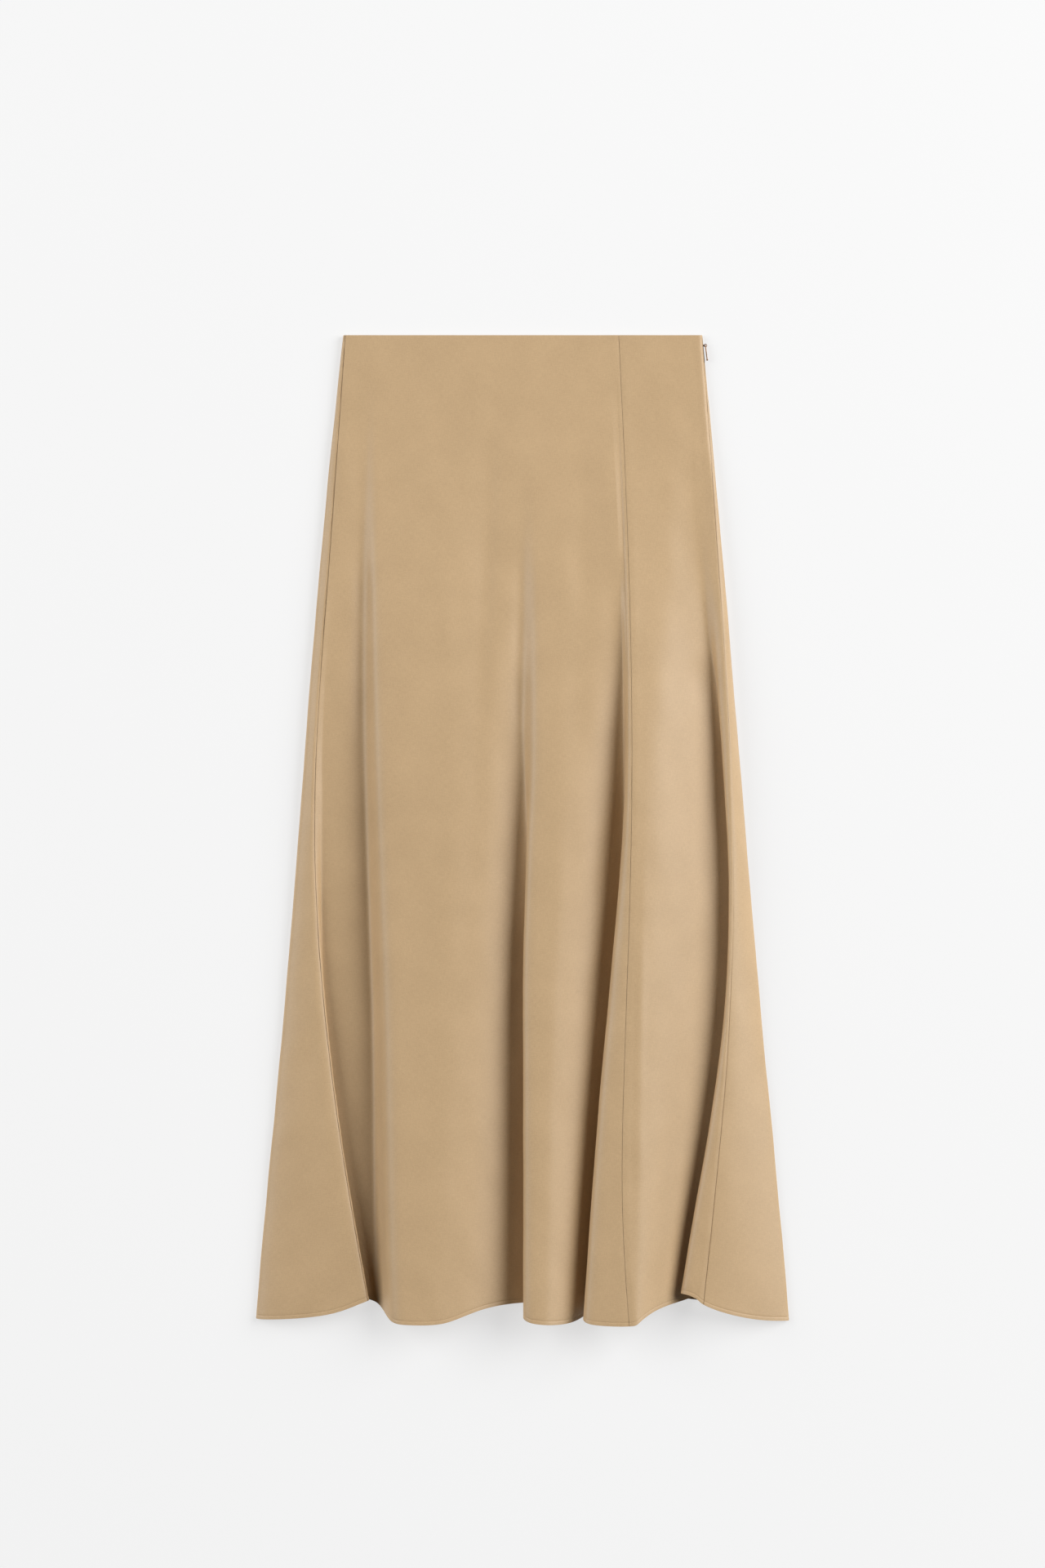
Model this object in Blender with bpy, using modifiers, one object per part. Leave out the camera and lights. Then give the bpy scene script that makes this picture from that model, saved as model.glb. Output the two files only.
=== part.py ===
"""Flared midi skirt, laid flat on its back.

The skirt is one tube of cloth. Its section changes down the length: flat and narrow at the waist,
wide at the hem, where the front stands up in three flutes between two side flaps. Each row of the
tables below is a line that runs down the cloth, and every section is a smooth closed curve rounded
off the corners that those lines give. Three panels are cut from the tube at its three seams, and a
concealed zip with a small pull closes the right seam.

Frame: metres, +Z up from the surface the skirt lies on, +Y toward the waist, +X to the right of a
viewer who looks down on the front. The origin is under the middle of the skirt.
"""
import math

import bmesh
import bpy
import numpy as np
from mathutils import Matrix

MM = 0.001

# --- Driving sizes, in millimetres -------------------------------------------------------------
CLOTH = 1.2                     # wall of the cloth
CLEAR = 0.3                     # between two pieces that meet
WAIST_Y = 453.5                 # the waist edge; the longest flute ends as far below the origin
HEM_DOWN = 905.0                # the mean length of the skirt
WAIST_HEIGHT = 5.2              # middle of the front's cloth at the waist, over the surface
EDGE_HEIGHT = 2.7               # where the folded sides reach furthest out
SIDE_TOP = 4.4                  # where a flap's top turns down at the side
SIDE_SEAM_HEIGHT = 3.2          # the right seam at the waist, on the very side
SIDE_SEAM_DOWN = 150.0          # how far down it leaves the side for the top of the flap
FLOOR = 0.5 * CLOTH             # middle of the back's cloth where it lies on the surface
RESTING = FLOOR + CLOTH + CLEAR     # middle of the front's cloth lying on the back
FLAT_DOWN = 260.0               # how far down the flatness of the waist is felt

# --- Lines down the cloth: millimetres to the right of the middle, at six heights --------------
STATIONS = (0.0, 217.0, 442.0, 667.0, 817.0, HEM_DOWN)
LINES = {
    #                 waist     hip   thigh    knee    calf     hem
    "left_side":    (-164.4, -186.2, -204.2, -222.9, -237.2, -244.6),
    "left_ridge":   (-162.6, -177.8, -190.5, -175.5, -153.0, -137.0),
    "left_foot":    (-138.0, -143.0, -143.0, -137.0, -135.0, -132.0),
    "shoulder_0":   (-122.0, -131.0, -129.0, -122.0, -119.0, -116.0),
    "brink_0":      (-26.0, -34.0, -46.0, -56.0, -61.0, -66.0),
    "foot_1":       (-4.0, -4.0, -1.0, 8.0, 9.0, 9.0),
    "ridge_1":      (-2.3, -1.5, -1.5, 0.8, 0.8, 0.8),
    "crest_1":      (45.0, 38.0, 33.0, 25.0, 22.0, 21.0),
    "brink_1":      (60.0, 56.0, 47.0, 35.0, 32.0, 30.0),
    "foot_2":       (73.5, 84.0, 94.0, 86.0, 74.0, 68.0),
    "ridge_2":      (78.0, 88.5, 91.5, 73.5, 61.5, 55.5),
    "front_seam":   (87.8, 96.8, 99.0, 93.0, 92.3, 98.3),
    "brink_2":      (116.0, 121.0, 112.0, 103.5, 102.0, 100.5),
    "foot_3":       (154.5, 163.5, 190.0, 190.0, 168.0, 157.0),
    "ridge_3":      (155.0, 164.5, 187.0, 180.0, 155.0, 140.5),
    "right_seam":   (165.0, 180.0, 191.6, 185.3, 170.3, 160.3),
    "right_side":   (165.0, 184.6, 203.4, 222.9, 237.2, 244.6),
}

# --- Heights of the crests at the hem; each gains a share of its rise early, is through with that
#     at a distance down, and gains the rest evenly on the way to the hem
CRESTS = {
    #              at hem, early share, early rise ends
    "left_ridge":   (17.5, 0.20, 360.0),
    "flute_0":      (33.0, 0.50, 430.0),
    "flute_1":      (38.0, 0.54, 430.0),
    "flute_2":      (43.0, 0.56, 430.0),
    "ridge_3":      (27.0, 0.42, 380.0),
}

# --- Valleys: where they sink from and to; where their cloth starts to run under the next fold and
#     does so fully; how far it runs under, how far the fold's crest is from its edge, and how wide
#     the soft slope is where there is no fold yet. The crest and the slope take no more than these
#     shares of the way to the next line, and the cloth under takes its share to the line beyond
VALLEYS = {
    "left": {
        "sinks": (0.0, 600.0), "folds": (430.0, 760.0), "under": 36.0, "crest": 7.0, "slope": 11.0,
        "next": "left_side", "crest_share": 0.4, "slope_share": 0.8,
        "beyond": "left_side", "under_share": 0.42},
    "first": {
        "sinks": (0.0, 760.0), "folds": (330.0, 640.0), "under": 17.0, "crest": 7.0, "slope": 17.0,
        "next": "crest_1", "crest_share": 0.4, "slope_share": 0.9,
        "beyond": "crest_1", "under_share": 0.7},
    "second": {
        "sinks": (120.0, 560.0), "folds": (320.0, 560.0), "under": 18.0, "crest": 6.0, "slope": 12.0,
        "next": "front_seam", "crest_share": 0.4, "slope_share": 0.66,
        "beyond": "front_seam", "under_share": 0.7},
    "third": {
        "sinks": (110.0, 460.0), "folds": (250.0, 470.0), "under": 34.0, "crest": 6.0, "slope": 12.0,
        "next": "right_seam", "crest_share": 0.5, "slope_share": 0.8,
        "beyond": "right_side", "under_share": 0.55},
}
UNDER_RISE = 6.0                # a fold that stands no higher than this has no cloth under it
UNDER_PER_RISE = 2.0            # how much further the cloth can run under a higher one

# --- Floors: the bank lies on the left valley's floor beside the flap, which keeps a share of the
#     flap's height as far down as the first of the two distances and has lost it by the second
FLOORS = {
    #         valley, crest that it sinks from
    "bank":   ("left", "left_ridge"),
    "left":   ("left", "left_ridge"),
    "left_0": ("left", "flute_0"),
    "first":  ("first", "flute_1"),
    "second": ("second", "flute_2"),
    "third":  ("third", "ridge_3"),
}
BANK_SHARE = 0.9
BANK_FALLS = (100.0, 760.0)

# --- The folds' edges ---------------------------------------------------------------------------
EDGES = {
    # valley: line, side the fold is on, floor, crest, drop, length of its first and last corner
    "left":   ("left_ridge", -1.0, "bank", "left_ridge", 0.0, 887.0, 878.0),
    "first":  ("ridge_1", 1.0, "first", "flute_1", 0.0, 886.0, 904.5),
    "second": ("ridge_2", 1.0, "second", "flute_2", 2.0, 888.0, 905.5),
    "third":  ("ridge_3", 1.0, "third", "ridge_3", 0.5, 876.0, 878.5),
}

# --- A fold that runs under the next: its six corners, from the foot to the top ----------------
TURN = (
    # share run under, share of the crest, share of the slope, rise folded, rise soft
    (0.70, 0.0, 0.00, 0.00, 0.00),
    (1.00, 0.0, 0.16, 0.12, 0.08),
    (0.50, 0.0, 0.34, 0.40, 0.30),
    (0.00, 0.0, 0.52, 0.64, 0.56),
    (0.00, 0.0, 0.72, 0.92, 0.82),
    (0.00, 1.0, 1.00, 1.02, 0.99),
)

# --- The front's corners past each edge, from the left seam to the right flap -------------------
FRONT = {
    # line, toward, share of the way, beside, floor, crest, share of the rise, drop, length, seam
    "left": (
        ("left_foot", None, 0.0, -15.0, "bank", "left_ridge", 0.0, 0.0, 883.0, None),
        ("left_foot", None, 0.0, -3.0, "left", "left_ridge", 0.0, 0.0, 886.0, None),
        ("left_foot", None, 0.0, 3.0, "left_0", "flute_0", 0.0, 0.0, 890.5, None),
        ("left_foot", "shoulder_0", 0.62, 0.0, "left_0", "flute_0", 0.72, 0.0, 901.5, None),
        ("shoulder_0", None, 0.0, 0.0, "left_0", "flute_0", 1.0, 0.5, 905.5, None),
        ("shoulder_0", None, 0.0, 13.0, "left_0", "flute_0", 1.0, 0.0, 906.2, None),
        ("shoulder_0", "brink_0", 0.5, 0.0, "left_0", "flute_0", 1.0, -0.5, 906.4, None),
        ("brink_0", None, 0.0, -14.0, "first", "flute_0", 1.0, 0.0, 906.0, None),
        ("brink_0", None, 0.0, 0.0, "first", "flute_0", 1.0, 2.5, 904.0, None),
        ("brink_0", "foot_1", 0.34, 0.0, "first", "flute_0", 0.72, 0.0, 892.5, None),
        ("brink_0", "foot_1", 0.68, 0.0, "first", "flute_0", 0.34, 0.0, 888.0, None),
        ("foot_1", None, 0.0, -2.0, "first", "flute_1", 0.0, 0.0, 887.5, None),
    ),
    "first": (
        ("crest_1", None, 0.0, 0.0, "first", "flute_1", 1.0, 0.0, 905.7, None),
        ("brink_1", None, 0.0, -4.0, "second", "flute_1", 1.0, 1.8, 906.0, None),
        ("brink_1", "foot_2", 0.34, 0.0, "second", "flute_1", 0.70, 0.0, 905.5, None),
        ("brink_1", "foot_2", 0.68, 0.0, "second", "flute_1", 0.32, 0.0, 900.0, None),
        ("foot_2", None, 0.0, -3.0, "second", "flute_2", 0.0, 0.0, 892.0, None),
    ),
    "second": (
        ("ridge_2", "front_seam", 0.7, 0.0, "second", "flute_2", 1.0, 0.6, 906.8, None),
        ("front_seam", None, 0.0, 0.0, "second", "flute_2", 1.0, 0.0, 906.5, "front"),
        ("front_seam", None, 0.0, 6.0, "third", "flute_2", 1.0, 0.0, 906.0, None),
        ("brink_2", "foot_3", 0.12, 0.0, "third", "flute_2", 1.0, 2.0, 901.5, None),
        ("brink_2", "foot_3", 0.38, 0.0, "third", "flute_2", 0.63, 0.0, 891.5, None),
        ("brink_2", "foot_3", 0.68, 0.0, "third", "flute_2", 0.27, 0.0, 887.0, None),
        ("foot_3", None, 0.0, -3.0, "third", "ridge_3", 0.0, 0.0, 883.0, None),
    ),
    "third": (),
}

# --- The right side, from the flap's top to the floor. At the waist the seam is the very side;
#     below it lies on the flap, and the corners after it lead straight to the side's top ---------
RIGHT_SIDE = (
    # at the waist: inside the side, height; below: share of the way, inside, height; length
    (0.0, 2.7, 0.25, 0.0, None, 895.5),
    (0.0, 2.2, 0.65, 0.0, None, 903.5),
    (0.1, 1.8, 1.00, 0.0, None, 904.5),
    (0.5, 1.3, 1.00, 0.0, EDGE_HEIGHT, 904.0),
    (1.4, 0.8, 1.00, 0.0, 1.0, 904.0),
    (3.5, 0.6, 1.00, 5.0, FLOOR, 902.0),
)
FLAP_ROUND = 1.7                # how much later than evenly the flap falls to the side
UPRIGHT_SHARE = 0.7             # of the flap's rise, kept up to the side as far down as the first
UPRIGHT_DOWN = (180.0, 430.0)   # of these, and lost by the second
SEAM_SHARE = 0.9                # of the way from the flap's edge to the seam, a corner before it
SEAM_LENGTHS = (883.0, 887.0)   # of the cloth at that corner and at the seam
SEAM_DROP = 0.8                 # how much lower that corner is near the waist

# --- The back's hem on the surface: share of the way from the right side to the left, length ---
BACK_HEM = (
    (0.05, 898.0),
    (0.16, 884.0),
    (0.32, 879.0),
    (0.50, 878.0),
    (0.68, 879.0),
    (0.84, 884.0),
    (0.95, 898.0),
)

# --- The left side, from the floor up, and the top of the left flap -----------------------------
LEFT_SIDE = (
    # inside the side, height, how much lower near the waist, length
    (5.0, FLOOR, 0.0, 900.0),
    (0.0, FLOOR + 0.4, 0.0, 902.0),
    (0.0, EDGE_HEIGHT, 0.0, 902.0),
    (0.0, SIDE_TOP, 0.5, 902.5),
)
LEFT_FLAP = (
    # share of the way to the edge, share of the rise, length
    (0.07, 0.40, 903.0),
    (0.34, 0.74, 902.0),
    (0.68, 0.93, 898.0),
)
FLAP_BULGE = 0.2                # how much higher the flap's top is near the waist
WALK_STEP = 0.02                # of a corner's span, to measure distances along the curve
WALK_STEPS = 200


def spline(at, knots, values):
    """Natural cubic curve through the values at the knots."""
    knots = np.asarray(knots)
    values = np.asarray(values)
    step = np.diff(knots)
    slope = np.diff(values) / step
    system = np.eye(len(knots))
    pull = np.zeros(len(knots))
    for i in range(1, len(knots) - 1):
        system[i, i - 1:i + 2] = (step[i - 1], 2.0 * (step[i - 1] + step[i]), step[i])
        pull[i] = 6.0 * (slope[i] - slope[i - 1])
    bend = np.linalg.solve(system, pull)
    i = int(np.clip(np.searchsorted(knots, at, side="right") - 1, 0, len(step) - 1))
    b = (at - knots[i]) / step[i]
    a = 1.0 - b
    straight = a * values[i] + b * values[i + 1]
    return straight + ((a ** 3 - a) * bend[i] + (b ** 3 - b) * bend[i + 1]) * step[i] ** 2 / 6.0


def along(line, down):
    """How far right of the middle a line is, a distance down."""
    return spline(down, STATIONS, LINES[line])


def ease(value, start, end):
    """0 before start, 1 after end, smooth between."""
    share = min(max((value - start) / (end - start), 0.0), 1.0)
    return share * share * (3.0 - 2.0 * share)


class Section:
    """The corners of the tube's section, in order, a share of the way down; in millimetres."""

    def __init__(self, share):
        self.share = share
        self.down = share * HEM_DOWN
        self.corners = []
        self.seams = {}

    def crest(self, name):
        """Height of a crest."""
        at_hem, early, ends = CRESTS[name]
        risen = early * ease(self.down, 0.0, ends) + (1.0 - early) * self.share
        return WAIST_HEIGHT + (at_hem - WAIST_HEIGHT) * risen

    def floor(self, name):
        """Height of a floor."""
        valley, crest = FLOORS[name]
        top = self.crest(crest)
        low = top + (RESTING - top) * ease(self.down, *VALLEYS[valley]["sinks"])
        if name == "bank":
            low += BANK_SHARE * (1.0 - ease(self.down, *BANK_FALLS)) * (top - low)
        return low

    def height(self, floor, crest, rise, drop):
        """Part of the way up from a floor to a crest, less a drop that fades out toward the waist."""
        low = self.floor(floor)
        return low + rise * (self.crest(crest) - low) - drop * ease(self.down, 0.0, FLAT_DOWN)

    def corner(self, line, toward, part, aside, height, length, seam=None):
        """A corner part of the way from one line toward another, on cloth of its own length."""
        if seam:
            self.seams[seam] = len(self.corners)
        down = self.share * length
        x = along(line, down)
        if toward:
            x += part * (along(toward, down) - x)
        self.corners.append((x + aside, WAIST_Y - down, height))

    def edge(self, valley):
        """The six corners of a fold's edge, which the valley's cloth runs under."""
        line, side, floor, crest, drop, at_first, at_last = EDGES[valley]
        sizes = VALLEYS[valley]
        edge = along(line, self.down)
        to_next = abs(along(sizes["next"], self.down) - edge)
        room = abs(along(sizes["beyond"], self.down) - edge)
        rise = self.crest(crest) - self.floor(floor)
        inside = min(sizes["crest"], sizes["crest_share"] * to_next)
        slope = min(sizes["slope"], sizes["slope_share"] * to_next)
        most = UNDER_PER_RISE * max(rise - UNDER_RISE, 0.0)
        under = min(sizes["under"], sizes["under_share"] * room, most)
        folded = ease(self.down, *sizes["folds"])
        rows = TURN if side > 0 else TURN[::-1]
        for number, (run, out, beside, up_folded, up_soft) in enumerate(rows):
            if side < 0:
                beside = beside - rows[1][2]
            aside = folded * (run * under + out * inside) + (1.0 - folded) * beside * slope
            up = folded * up_folded + (1.0 - folded) * up_soft
            height = self.height(floor, crest, up, up * drop)
            length = at_first + (at_last - at_first) * number / (len(rows) - 1)
            seam = "left" if side < 0 and number == 1 else None
            self.corner(line, None, 0.0, side * aside, height, length, seam)


def section(share):
    """The whole tube: the front from the left seam, round the right side, back along the floor."""
    ring = Section(share)
    for valley, corners in FRONT.items():
        ring.edge(valley)
        for line, toward, part, aside, floor, crest, rise, drop, length, seam in corners:
            ring.corner(line, toward, part, aside, ring.height(floor, crest, rise, drop), length, seam)
    # the right side: near the waist the seam lies at the very side, below it on the flap
    right = ring.crest("ridge_3")
    below = ease(ring.down, 0.0, SIDE_SEAM_DOWN)
    before, at_seam = SEAM_LENGTHS
    ring.corner("ridge_3", "right_seam", SEAM_SHARE, 0.0, right - SEAM_DROP * (1.0 - below), before)
    seam_height = SIDE_SEAM_HEIGHT + (right - SIDE_SEAM_HEIGHT) * below
    ring.corner("right_seam", None, 0.0, 0.0, seam_height, at_seam, "right")
    fall = (1.0 - UPRIGHT_SHARE * (1.0 - ease(ring.down, *UPRIGHT_DOWN))) * (SIDE_TOP - right)
    for inside, height, part, inside_below, height_below, length in RIGHT_SIDE:
        if height_below is None:
            height_below = right + part ** FLAP_ROUND * fall
        part = 1.0 + (part - 1.0) * below
        inside += (inside_below - inside) * below
        height += (height_below - height) * below
        ring.corner("right_seam", "right_side", part, -inside, height, length)
    # the back, flat on the surface, the left side and the left flap
    for part, length in BACK_HEM:
        ring.corner("right_side", "left_side", part, 0.0, FLOOR, length)
    for inside, height, lower, length in LEFT_SIDE:
        ring.corner("left_side", None, 0.0, inside, height - lower * (1.0 - below), length)
    left = ring.crest("left_ridge")
    for part, rise, length in LEFT_FLAP:
        height = SIDE_TOP + rise * (left - SIDE_TOP) + FLAP_BULGE * (1.0 - below)
        ring.corner("left_side", "left_ridge", part, 0.0, height, length)
    return ring


def curve_at(corners, at):
    """The closed curve rounded off the corners, at positions counted in corners."""
    first = np.floor(at).astype(int)
    part = (at - first)[:, None]
    count = len(corners)
    weights = (
        (1.0 - part) ** 3,
        3.0 * part ** 3 - 6.0 * part ** 2 + 4.0,
        -3.0 * part ** 3 + 3.0 * part ** 2 + 3.0 * part + 1.0,
        part ** 3,
    )
    total = sum(weight * corners[(first + shift - 1) % count] for shift, weight in enumerate(weights))
    return total / 6.0


def past(corners, start, distance):
    """The position on the curve a small distance past (or before) a start."""
    here = start + math.copysign(WALK_STEP, distance) * np.arange(WALK_STEPS)
    points = curve_at(corners, here)
    walked = np.concatenate(([0.0], np.cumsum(np.linalg.norm(np.diff(points, axis=0), axis=1))))
    return float(np.interp(abs(distance), walked, here))


# --- Building ----------------------------------------------------------------------------------
ROWS = (0.0, 0.012, 0.028, 0.055, 0.1, 0.15)       # shares of the way down, close together at the waist
LOWER_ROWS = 17                                    # even rows from the last of those to the hem
SEAM_COLUMN = 0.4                                  # the narrow column that squares a panel's edge
SLIT = 2.0                                         # how far the zip's slider holds its seam open
SLIT_DOWN = (14.0, 40.0)                           # where the slit starts to close and is closed
RIM_ANGLE = math.radians(50.0)                     # an edge bent more than this isn't shaded smooth

CLOTH_COLOUR = (0.56, 0.39, 0.24)
BACK_COLOUR = (0.50, 0.34, 0.20)
TAPE_COLOUR = (0.45, 0.31, 0.19)
METAL_COLOUR = (0.62, 0.47, 0.28)

PANELS = {
    # from seam, to seam, positions in each corner's span, colour
    "front_main": ("left", "front", 2, CLOTH_COLOUR),
    "front_side": ("front", "right", 2, CLOTH_COLOUR),
    "back": ("right", "left", 2, BACK_COLOUR),
}

# the zip, beside the line of the right side: down from the waist edge, inside or outside that line
# and over the surface
TAPE_DOWN = (1.0, 200.0)
TAPE_INSIDE = (11.0, 3.8)
TAPE_HEIGHT = (1.5, 2.0)
TAPE_POINTS = 9                 # down each of its sides
SLIDER_INSIDE = (9.0, 2.8)
SLIDER_DOWN = (4.8, 13.8)
SLIDER_HEIGHT = (2.3, 3.6)
BRIDGE_HEIGHT = 3.1             # middle of the bridge's plate
BRIDGE_PLATE = 0.7
BRIDGE_RADIUS = 1.6
BRIDGE_HOLE = 1.0
BRIDGE_LAP = 1.0                # how far the bridge's bar runs into the slider
PIVOT_DOWN = 9.3
PIVOT_OUTSIDE = 2.1
PULL_LEAN = math.radians(7.0)
PULL_LENGTH = 13.2              # from the pivot to the rolled end
PULL_WIDTH = 3.6
PULL_PLATE = 1.0
PULL_BAR = 0.9
PULL_WINDOW = (1.6, 3.0)        # across and along
PULL_ROLL = 0.85                # radius of the rolled end
THROUGH = 2.0                   # how far a cutter reaches to each side of a thin plate's middle


def material(name, colour, roughness, metallic=0.0):
    finish = bpy.data.materials.new(name)
    finish.use_nodes = True
    shader = finish.node_tree.nodes["Principled BSDF"]
    shader.inputs["Base Color"].default_value = (*colour, 1.0)
    shader.inputs["Roughness"].default_value = roughness
    shader.inputs["Metallic"].default_value = metallic
    finish.diffuse_color = (*colour, 1.0)
    return finish


def rows_down():
    even = np.linspace(ROWS[-1], 1.0, LOWER_ROWS + 1)[1:]
    return list(ROWS) + list(even)


def half_gap(seam, share):
    """Half the gap between two panels at a seam, wider at the right one's slit."""
    if seam != "right":
        return 0.5 * CLEAR
    closed = ease(share * HEM_DOWN, *SLIT_DOWN)
    return 0.5 * (SLIT + (CLEAR - SLIT) * closed)


def panel_grid(start, end, fineness, rows):
    """The middle of a panel's cloth, as rows of points from one seam to the other."""
    grid = []
    for share in rows:
        ring = section(share)
        corners = np.array(ring.corners)
        first = ring.seams[start]
        last = ring.seams[end]
        if last < first:
            last += len(corners)
        from_here = past(corners, first, half_gap(start, share))
        to_here = past(corners, last, -half_gap(end, share))
        spots = np.linspace(
            past(corners, from_here, SEAM_COLUMN),
            past(corners, to_here, -SEAM_COLUMN),
            (last - first) * fineness + 1,
        )
        grid.append(curve_at(corners, np.concatenate(([from_here], spots, [to_here]))))
    return np.array(grid)


def cloth_mesh(name, grid):
    """A mesh grid whose points are moved onto the panel."""
    rows, columns = grid.shape[:2]
    mesh = bpy.data.meshes.new(name)
    work = bmesh.new()
    bmesh.ops.create_grid(work, x_segments=columns - 1, y_segments=rows - 1, size=1.0)
    for point in work.verts:
        column = round((point.co.x + 1.0) * 0.5 * (columns - 1))
        row = round((1.0 - point.co.y) * 0.5 * (rows - 1))
        point.co = grid[row, column] * MM
    work.to_mesh(mesh)
    work.free()
    return mesh


def add_object(name, mesh, finish, collection):
    piece = bpy.data.objects.new(name, mesh)
    collection.objects.link(piece)
    mesh.materials.append(finish)
    return piece


def build_panel(name, collection):
    start, end, fineness, colour = PANELS[name]
    mesh = cloth_mesh(name, panel_grid(start, end, fineness, rows_down()))
    mesh.shade_smooth()
    mesh.set_sharp_from_angle(angle=RIM_ANGLE)
    panel = add_object(name, mesh, material(name + "_cloth", colour, 0.6), collection)
    wall = panel.modifiers.new("wall", "SOLIDIFY")
    wall.thickness = CLOTH * MM
    wall.offset = 0.0
    return panel


def outline_plate(name, outlines, thickness, finish, collection):
    """A flat plate from closed outlines, one inside another for a hole, in millimetres."""
    curve = bpy.data.curves.new(name, "CURVE")
    curve.dimensions = "2D"
    curve.fill_mode = "BOTH"
    curve.extrude = 0.5 * thickness * MM
    for outline in outlines:
        line = curve.splines.new("POLY")
        line.points.add(len(outline) - 1)
        for point, (x, y) in zip(line.points, outline):
            point.co = (x * MM, y * MM, 0.0, 1.0)
        line.use_cyclic_u = True
    plate = bpy.data.objects.new(name, curve)
    collection.objects.link(plate)
    curve.materials.append(finish)
    return plate


def build_tape(collection):
    downs = np.linspace(*TAPE_DOWN, TAPE_POINTS)
    inner = [(along("right_side", down) - TAPE_INSIDE[0], WAIST_Y - down) for down in downs]
    outer = [(along("right_side", down) - TAPE_INSIDE[1], WAIST_Y - down) for down in downs[::-1]]
    low, high = TAPE_HEIGHT
    finish = material("zip_tape_weave", TAPE_COLOUR, 0.8)
    tape = outline_plate("zip_tape", [inner + outer], high - low, finish, collection)
    tape.location.z = 0.5 * (low + high) * MM
    return tape


def box(name, low, high, collection):
    bpy.ops.mesh.primitive_cube_add(size=1.0)
    block = bpy.context.object
    block.name = name
    low, high = np.array(low) * MM, np.array(high) * MM
    block.data.transform(placing(0.5 * (low + high), high - low))
    move_to(block, collection)
    return block


def cylinder(name, radius, depth, middle, collection, vertices=24):
    bpy.ops.mesh.primitive_cylinder_add(vertices=vertices, radius=radius * MM, depth=depth * MM)
    rod = bpy.context.object
    rod.name = name
    rod.data.transform(placing(np.array(middle) * MM, (1.0, 1.0, 1.0)))
    move_to(rod, collection)
    return rod


def placing(middle, size):
    """A matrix that scales by size and then moves to the middle."""
    return Matrix.Translation(middle) @ Matrix.Diagonal((*size, 1.0))


def move_to(piece, collection):
    for owner in list(piece.users_collection):
        owner.objects.unlink(piece)
    collection.objects.link(piece)


def combine(piece, tool, operation):
    """A Boolean with a tool that stays hidden as a guide."""
    step = piece.modifiers.new(operation.lower(), "BOOLEAN")
    step.operation = operation
    step.object = tool
    tool.hide_render = True
    tool.display_type = "WIRE"


def pivot():
    """The middle of the pull's hinge, in millimetres."""
    return (along("right_side", PIVOT_DOWN) + PIVOT_OUTSIDE, WAIST_Y - PIVOT_DOWN, BRIDGE_HEIGHT)


def build_slider(collection, guides):
    side, top = along("right_side", PIVOT_DOWN), WAIST_Y
    low = (side - SLIDER_INSIDE[0], top - SLIDER_DOWN[1], SLIDER_HEIGHT[0])
    high = (side - SLIDER_INSIDE[1], top - SLIDER_DOWN[0], SLIDER_HEIGHT[1])
    slider = box("zip_slider", low, high, collection)
    slider.data.materials.append(material("zip_slider_metal", METAL_COLOUR, 0.35, 1.0))
    x, y, z = pivot()
    half = 0.5 * BRIDGE_PLATE
    low = (side - SLIDER_INSIDE[1] - BRIDGE_LAP, y - BRIDGE_RADIUS, z - half)
    bar = box("bridge_bar", low, (x, y + BRIDGE_RADIUS, z + half), guides)
    combine(slider, bar, "UNION")
    combine(slider, cylinder("bridge_end", BRIDGE_RADIUS, BRIDGE_PLATE, (x, y, z), guides), "UNION")
    combine(slider, cylinder("bridge_hole", BRIDGE_HOLE, 2.0 * THROUGH, (x, y, z), guides), "DIFFERENCE")
    return slider


def build_pull(collection, guides):
    """The pull hangs from the bridge by the bar over its window; its origin is on the hinge."""
    hinge = bpy.data.objects.new("pull_hinge", None)
    hinge.location = np.array(pivot()) * MM
    hinge.rotation_euler = (0.0, 0.0, PULL_LEAN)
    guides.objects.link(hinge)
    half, bar = 0.5 * PULL_WIDTH, 0.5 * PULL_BAR
    width, height = PULL_WINDOW
    low = (-0.5 * PULL_PLATE, -PULL_LENGTH, -half)
    pull = box("zip_pull", low, (0.5 * PULL_PLATE, bar, half), collection)
    pull.data.materials.append(material("zip_pull_metal", METAL_COLOUR, 0.3, 1.0))
    low = (-THROUGH, -bar - height, -0.5 * width)
    window = box("pull_window", low, (THROUGH, -bar, 0.5 * width), guides)
    roll = cylinder("pull_roll", PULL_ROLL, PULL_WIDTH, (0.0, -PULL_LENGTH, 0.0), guides)
    combine(pull, window, "DIFFERENCE")
    combine(pull, roll, "UNION")
    for piece in (pull, window, roll):
        piece.parent = hinge
    return pull


def main():
    for thing in list(bpy.data.objects):
        bpy.data.objects.remove(thing)
    skirt = bpy.data.collections.new("Flared midi skirt")
    guides = bpy.data.collections.new("Guides")
    bpy.context.scene.collection.children.link(skirt)
    bpy.context.scene.collection.children.link(guides)
    for name in PANELS:
        build_panel(name, skirt)
    build_tape(skirt)
    build_slider(skirt, guides)
    build_pull(skirt, guides)
    bpy.context.view_layer.update()


main()
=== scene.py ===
"""Flared midi skirt laid flat: its looks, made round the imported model.

Each panel of cloth is a thin shell on the form that its solid has, from the same tables and the same
sections, with finer rows and columns, soft creases, dips at its seams and a turned hem. The frame is
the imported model's: +Z up from the surface, +Y toward the waist, +X to a viewer's right. The sizes
below are in millimetres, and the model is in metres.
"""
import math

import bmesh
import bpy
import numpy as np
from mathutils import Matrix, Vector


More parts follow.
